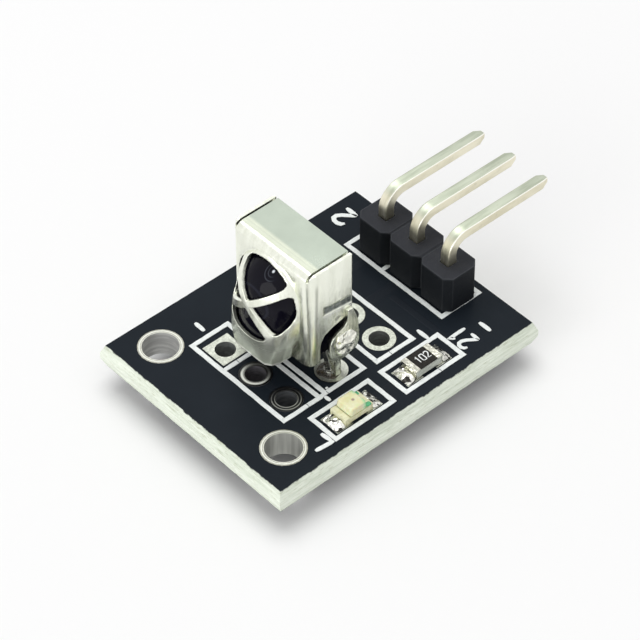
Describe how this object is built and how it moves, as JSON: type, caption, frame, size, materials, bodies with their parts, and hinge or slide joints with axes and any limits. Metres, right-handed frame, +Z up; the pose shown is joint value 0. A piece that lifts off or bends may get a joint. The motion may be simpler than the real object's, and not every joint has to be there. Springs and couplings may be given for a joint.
{
  "type": "infrared receiver module",
  "caption": "Small black circuit board with a shielded, domed infrared receiver, a bent pin header at one end, a signal lamp and a resistor. It picks up remote-control light.",
  "frame": {"origin": "middle of the board's underside", "axes": "+X towards the header's end of the board, so the receiver's lens looks along -X; +Z up out of the component side"},
  "size_m": [0.0245, 0.0152, 0.0112],
  "materials": {
    "solder_mask": "black solder mask over glass-fibre board",
    "tinned_copper": "tinned copper, satin",
    "solder": "bright solder, slightly lumpy",
    "header_plastic": "moulded, satin black",
    "pin_plating": "pale plated, smooth",
    "tinned_sheet": "bright tinned sheet",
    "dark_epoxy": "cast epoxy, clear to infrared and black to the eye",
    "tinned_lead": "tinned, smooth",
    "lamp_base": "pale laminate",
    "lamp_epoxy": "pale yellow, cloudy",
    "ceramic": "unglazed ceramic",
    "black_glaze": "smooth glaze",
    "printing_ink": "white printing ink"
  },
  "bodies": {
    "root": {"circuit_board": "solder_mask", "mounting_ring_1": "tinned_copper", "mounting_ring_2": "tinned_copper", "spare_ring_1": "tinned_copper", "spare_ring_2": "tinned_copper", "spare_ring_3": "tinned_copper", "receiver_ring_1": "tinned_copper", "receiver_ring_2": "tinned_copper", "receiver_ring_3": "tinned_copper", "rear_ring_1": "tinned_copper", "rear_ring_2": "tinned_copper", "rear_ring_3": "tinned_copper", "header_ring_1": "tinned_copper", "header_ring_2": "tinned_copper", "header_ring_3": "tinned_copper", "header_housing": "header_plastic", "header_pin_1": "pin_plating", "header_pin_2": "pin_plating", "header_pin_3": "pin_plating", "header_solder_1": "solder", "header_solder_2": "solder", "header_solder_3": "solder", "receiver_shield": "tinned_sheet", "receiver_body": "dark_epoxy", "receiver_lead_1": "tinned_lead", "receiver_lead_2": "tinned_lead", "receiver_lead_3": "tinned_lead", "receiver_solder_1": "solder", "receiver_solder_2": "solder", "receiver_solder_3": "solder", "lamp_base": "lamp_base", "lamp_lens": "lamp_epoxy", "lamp_pad_1": "tinned_copper", "lamp_pad_2": "tinned_copper", "lamp_terminal_1": "solder", "lamp_terminal_2": "solder", "lamp_solder_1": "solder", "lamp_solder_2": "solder", "resistor_ceramic": "ceramic", "resistor_coat": "black_glaze", "resistor_pad_1": "tinned_copper", "resistor_pad_2": "tinned_copper", "resistor_terminal_1": "solder", "resistor_terminal_2": "solder", "resistor_solder_1": "solder", "resistor_solder_2": "solder", "outline_spare": "printing_ink", "outline_receiver": "printing_ink", "outline_rear": "printing_ink", "outline_header": "printing_ink", "outline_lamp": "printing_ink", "outline_resistor": "printing_ink"}
  },
  "joints": []
}
